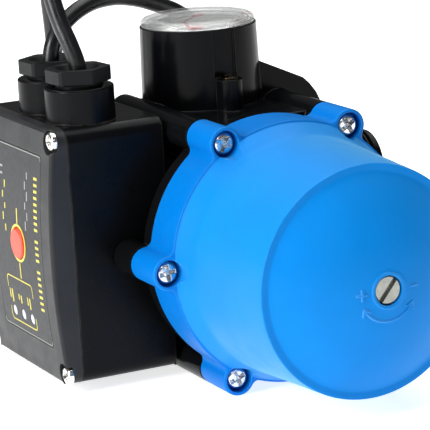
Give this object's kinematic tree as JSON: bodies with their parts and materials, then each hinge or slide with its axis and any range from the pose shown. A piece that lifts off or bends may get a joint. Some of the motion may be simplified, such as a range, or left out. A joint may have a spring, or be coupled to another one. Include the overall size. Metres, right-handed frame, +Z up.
{
  "type": "automatic pump controller",
  "caption": "Electronic automatic pump controller: moulded pressure chamber, domed spring bonnet, gauge tower, control box with restart button, and two corded leads.",
  "frame": {"origin": "bottom centre of the controller without its leads, on the surface it stands on", "axes": "+Z up through the gauge and the cable glands; -Y is where the spring bonnet points; the control box is on -X and the outlet port on +X"},
  "size_m": [0.237, 0.31, 0.1949],
  "materials": {
    "black_moulding": "satin",
    "box_moulding": "satin",
    "lid_moulding": "satin",
    "overlay": "satin print",
    "blue_moulding": "semi-gloss",
    "button_red": "gloss",
    "window_clear": "diffusing",
    "led_resin": "gloss",
    "board_green": "solder mask",
    "relay_blue": "gloss",
    "capacitor_yellow": "gloss",
    "terminal_green": "satin",
    "switch_black": "satin",
    "gland_black": "satin",
    "rubber_black": "matte",
    "zinc_steel": "zinc plated",
    "spring_steel": "drawn",
    "nickel_brass": "nickel plated",
    "magnet": "plated",
    "natural_acetal": "matte",
    "brass": "machined",
    "dial_white": "printed",
    "pointer_red": "painted",
    "lens_clear": "clear polycarbonate",
    "cord_black": "satin PVC",
    "tie_white": "nylon",
    "plug_black": "satin"
  },
  "bodies": {
    "housing": {"main_body": "black_moulding", "control_box": "box_moulding", "box_fixing_screws": "zinc_steel", "box_lid": "lid_moulding", "lid_gasket": "rubber_black", "lid_screws": "zinc_steel", "overlay_panel": "overlay", "tact_switch": "switch_black", "circuit_board": "board_green", "status_leds": "led_resin", "led_windows": "window_clear", "relay": "relay_blue", "capacitor": "capacitor_yellow", "terminal_block": "terminal_green", "flow_sensor": "board_green", "gland_nuts": "gland_black", "gland_seals": "rubber_black", "bonnet": "blue_moulding", "bonnet_screws": "zinc_steel", "main_spring": "spring_steel", "diaphragm": "rubber_black", "valve_guide": "natural_acetal", "valve_spring": "spring_steel", "gauge_case": "gland_black", "gauge_stem": "brass", "gauge_dial": "dial_white", "gauge_lens": "lens_clear", "gauge_screw": "zinc_steel", "supply_cord": "cord_black", "supply_coil": "cord_black", "supply_tie": "tie_white", "supply_plug": "plug_black", "supply_pins": "nickel_brass", "pump_cord": "cord_black", "pump_coil": "cord_black", "pump_tie": "tie_white", "pump_socket": "plug_black", "pump_contacts": "brass"},
    "button": {"restart_button": "button_red"},
    "adjuster": {"adjusting_screw": "nickel_brass", "adjuster_seal": "rubber_black"},
    "seat": {"spring_seat": "zinc_steel"},
    "plate": {"diaphragm_plate": "zinc_steel", "diaphragm_washer": "zinc_steel", "diaphragm_nut": "zinc_steel"},
    "valve": {"check_valve": "natural_acetal", "valve_seal": "rubber_black", "valve_magnet": "magnet"},
    "pointer": {"gauge_pointer": "pointer_red"}
  },
  "joints": [
    {"name": "button_press", "type": "slide", "parent": "housing", "child": "button", "axis": [1, 0, 0], "range_m": [0, 0.001], "stiffness_N_per_m": 300},
    {"name": "adjuster_turn", "type": "hinge", "parent": "housing", "child": "adjuster", "pos_m": [0.007, -0.1, 0.05443], "axis": [0, 1, 0], "range_deg": [-900, 900]},
    {"name": "seat_travel", "type": "slide", "parent": "housing", "child": "seat", "axis": [0, 1, 0], "range_m": [-0.00374, 0.00374], "deforming": ["main_spring"]},
    {"name": "plate_lift", "type": "slide", "parent": "housing", "child": "plate", "axis": [0, -1, 0], "range_m": [-0.002, 0.002], "stiffness_N_per_m": 600, "deforming": ["diaphragm", "main_spring"]},
    {"name": "valve_lift", "type": "slide", "parent": "housing", "child": "valve", "axis": [0, -1, 0], "range_m": [0, 0.008], "stiffness_N_per_m": 60, "deforming": ["valve_spring"]},
    {"name": "pointer_sweep", "type": "hinge", "parent": "housing", "child": "pointer", "pos_m": [0.0063, 0.047, 0.136], "axis": [0, 0, -1], "range_deg": [0, 270]}
  ],
  "couplings": [
    {"joint": "adjuster_turn", "follows": "seat_travel", "rad_per_m": 4188.8}
  ]
}
